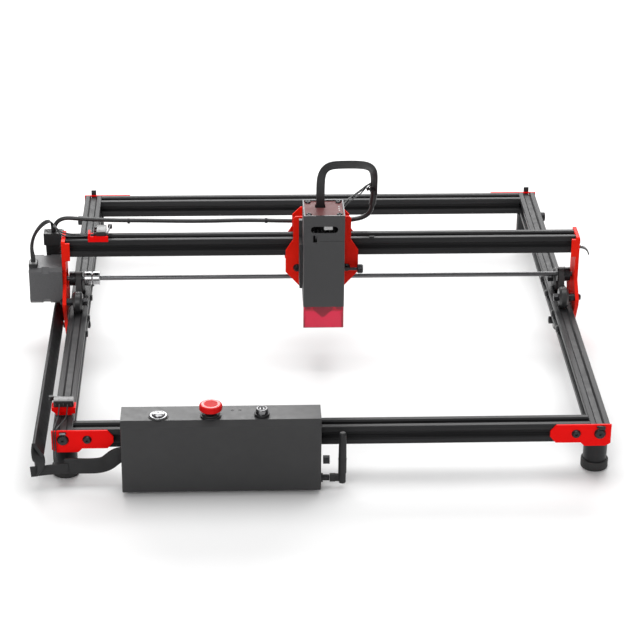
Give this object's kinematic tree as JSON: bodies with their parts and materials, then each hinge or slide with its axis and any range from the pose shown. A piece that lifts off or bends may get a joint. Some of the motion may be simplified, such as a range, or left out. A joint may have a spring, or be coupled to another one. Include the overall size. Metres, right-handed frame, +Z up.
{
  "type": "desktop laser cutter",
  "caption": "Open-frame desktop laser cutter: a laser head on a belt-driven carriage and gantry over a slotted aluminium rail frame, with a control box on its front rail.",
  "frame": {"origin": "centre of the frame on the surface that its feet stand on", "axes": "+X right along the gantry beam, +Y back along the side rails, +Z up"},
  "size_m": [0.6175, 0.6286, 0.2299],
  "materials": {
    "rail": "satin black anodised, fine lengthwise grain",
    "red_sheet": "satin powder coat",
    "charcoal_sheet": "fine-textured powder coat",
    "black_tube": "satin black",
    "rubber": "matte",
    "black_rubber_belt": "matte, toothed",
    "black_plastic": "fine moulded grain",
    "wheel_plastic": "smooth turned polymer",
    "steel": "turned",
    "black_steel": "black oxide",
    "chrome": "polished",
    "motor_grey": "satin, laminated",
    "stop_red": "gloss",
    "circuit_board": "solder mask",
    "head_aluminium": "bead-blasted anodised",
    "head_cap": "satin",
    "sink_aluminium": "sawn fins",
    "shield_acrylic": "tinted acrylic, gloss",
    "silver": "bright turned",
    "cable_jacket": "matte sleeve",
    "ribbon": "ribbed flat cable",
    "switch_black": "moulded"
  },
  "bodies": {
    "frame": {"left_rail": "rail", "right_rail": "rail", "front_rail": "rail", "rear_rail": "rail", "corner_brackets": "red_sheet", "frame_fasteners": "black_steel", "foot_tubes": "black_tube", "foot_pads": "rubber", "y_belts": "black_rubber_belt", "box_cover": "charcoal_sheet", "box_back_plate": "charcoal_sheet", "controller_board": "circuit_board", "power_button_bezel": "chrome", "emergency_stop_base": "black_plastic", "key_switch_body": "chrome", "antenna_connector": "black_steel", "y_switch_bracket": "red_sheet", "y_limit_switch": "switch_black", "side_ribbon": "ribbon"},
    "power_button": {"power_button_cap": "chrome"},
    "stop_plunger": {"emergency_stop_plunger": "black_plastic"},
    "stop_cap": {"emergency_stop_cap": "stop_red"},
    "key": {"key_barrel": "steel"},
    "antenna_base": {"antenna_knuckle": "black_plastic"},
    "antenna": {"antenna_whip": "black_plastic"},
    "y_lever": {"y_switch_lever": "steel"},
    "gantry": {"left_gantry_plate": "red_sheet", "right_gantry_plate": "red_sheet", "gantry_beam": "rail", "gantry_fasteners": "black_steel", "y_motor": "motor_grey", "x_belt": "black_rubber_belt", "x_switch_bracket": "red_sheet", "x_limit_switch": "switch_black", "cable_clamp": "black_plastic", "beam_cable": "cable_jacket"},
    "x_lever": {"x_switch_lever": "steel"},
    "drive_shaft": {"drive_shafts": "steel", "shaft_coupling": "silver", "y_pulleys": "black_steel"},
    "front_wheels": {"front_y_wheels": "wheel_plastic"},
    "rear_wheels": {"rear_y_wheels": "wheel_plastic"},
    "lower_wheels": {"lower_y_wheels": "wheel_plastic"},
    "carriage": {"carriage_front_plate": "red_sheet", "carriage_rear_plate": "red_sheet", "carriage_axles": "black_steel", "x_motor": "motor_grey", "laser_mount": "head_aluminium", "head_ribbon": "ribbon"},
    "x_drive": {"x_pulley": "black_steel"},
    "left_wheel": {"left_x_wheel": "wheel_plastic"},
    "right_wheel": {"right_x_wheel": "wheel_plastic"},
    "upper_wheel": {"upper_x_wheel": "wheel_plastic"},
    "thumb_knob": {"thumb_screw": "black_steel"},
    "laser_head": {"head_housing": "head_aluminium", "head_top_plate": "head_cap", "heat_sink": "sink_aluminium", "laser_nozzle": "black_steel", "laser_shield": "shield_acrylic"},
    "fan": {"cooling_fan": "black_plastic"}
  },
  "joints": [
    {"name": "power_button_press", "type": "slide", "parent": "frame", "child": "power_button", "axis": [0, 0, -1], "range_m": [0, 0.0015], "stiffness_N_per_m": 800},
    {"name": "emergency_stop_press", "type": "slide", "parent": "frame", "child": "stop_plunger", "axis": [0, 0, -1], "range_m": [0, 0.003]},
    {"name": "emergency_stop_twist", "type": "hinge", "parent": "stop_plunger", "child": "stop_cap", "pos_m": [-0.1205, -0.3145, 0.09], "axis": [0, 0, 1], "range_deg": [0, 30], "stiffness_Nm_per_rad": 0.03},
    {"name": "key_turn", "type": "hinge", "parent": "frame", "child": "key", "pos_m": [-0.0705, -0.3145, 0.085], "axis": [0, 0, 1], "range_deg": [-90, 0]},
    {"name": "antenna_swivel", "type": "hinge", "parent": "frame", "child": "antenna_base", "pos_m": [-0.0035, -0.315, 0.011], "axis": [1, 0, 0], "range_deg": [-8, 90]},
    {"name": "antenna_tilt", "type": "hinge", "parent": "antenna_base", "child": "antenna", "pos_m": [0.009, -0.315, 0.011], "axis": [0, 1, 0], "range_deg": [0, 90]},
    {"name": "y_switch_press", "type": "hinge", "parent": "frame", "child": "y_lever", "pos_m": [-0.26, -0.25355, 0.0694], "axis": [0, 0, 1], "range_deg": [0, 8], "stiffness_Nm_per_rad": 0.01},
    {"name": "gantry_slide", "type": "slide", "parent": "frame", "child": "gantry", "axis": [0, 1, 0], "range_m": [-0.1975, 0.2], "deforming": ["y_belts", "side_ribbon"]},
    {"name": "x_switch_press", "type": "hinge", "parent": "gantry", "child": "x_lever", "pos_m": [-0.23505, -0.008, 0.1404], "axis": [0, 0, 1], "range_deg": [0, 8], "stiffness_Nm_per_rad": 0.01},
    {"name": "drive_shaft_turn", "type": "hinge", "parent": "gantry", "child": "drive_shaft", "pos_m": [0, 0, 0.084], "axis": [1, 0, 0], "range_deg": [-1900, 1900]},
    {"name": "front_wheels_turn", "type": "hinge", "parent": "gantry", "child": "front_wheels", "pos_m": [0, -0.0255, 0.0673], "axis": [1, 0, 0], "range_deg": [-1100, 1100]},
    {"name": "rear_wheels_turn", "type": "hinge", "parent": "gantry", "child": "rear_wheels", "pos_m": [0, 0.0255, 0.0673], "axis": [1, 0, 0], "range_deg": [-1100, 1100]},
    {"name": "lower_wheels_turn", "type": "hinge", "parent": "gantry", "child": "lower_wheels", "pos_m": [0, 0, 0.0267], "axis": [1, 0, 0], "range_deg": [-1100, 1100]},
    {"name": "carriage_slide", "type": "slide", "parent": "gantry", "child": "carriage", "axis": [1, 0, 0], "range_m": [-0.188, 0.205], "deforming": ["x_belt", "beam_cable"]},
    {"name": "x_drive_turn", "type": "hinge", "parent": "carriage", "child": "x_drive", "pos_m": [0, 0, 0.1005], "axis": [0, 1, 0], "range_deg": [-1900, 1900]},
    {"name": "left_wheel_turn", "type": "hinge", "parent": "carriage", "child": "left_wheel", "pos_m": [-0.027, 0, 0.1037], "axis": [0, 1, 0], "range_deg": [-1100, 1100]},
    {"name": "right_wheel_turn", "type": "hinge", "parent": "carriage", "child": "right_wheel", "pos_m": [0.027, 0, 0.1037], "axis": [0, 1, 0], "range_deg": [-1100, 1100]},
    {"name": "upper_wheel_turn", "type": "hinge", "parent": "carriage", "child": "upper_wheel", "pos_m": [0, 0, 0.1443], "axis": [0, 1, 0], "range_deg": [-1100, 1100]},
    {"name": "thumb_screw_turn", "type": "hinge", "parent": "carriage", "child": "thumb_knob", "pos_m": [0.04, -0.0254, 0.1043], "axis": [1, 0, 0], "range_deg": [0, 360]},
    {"name": "head_height", "type": "slide", "parent": "carriage", "child": "laser_head", "axis": [0, 0, 1], "range_m": [-0.045, 0.008], "deforming": ["head_ribbon"]},
    {"name": "fan_spin", "type": "hinge", "parent": "laser_head", "child": "fan", "pos_m": [0, -0.05035, 0.169], "axis": [0, 0, 1], "continuous": true}
  ],
  "couplings": [
    {"joint": "drive_shaft_turn", "follows": "gantry_slide", "rad_per_m": 157.08},
    {"joint": "front_wheels_turn", "follows": "gantry_slide", "rad_per_m": -90.9},
    {"joint": "rear_wheels_turn", "follows": "gantry_slide", "rad_per_m": -90.9},
    {"joint": "lower_wheels_turn", "follows": "gantry_slide", "rad_per_m": 90.9},
    {"joint": "x_drive_turn", "follows": "carriage_slide", "rad_per_m": 157.08},
    {"joint": "left_wheel_turn", "follows": "carriage_slide", "rad_per_m": -90.9},
    {"joint": "right_wheel_turn", "follows": "carriage_slide", "rad_per_m": -90.9},
    {"joint": "upper_wheel_turn", "follows": "carriage_slide", "rad_per_m": 90.9}
  ]
}
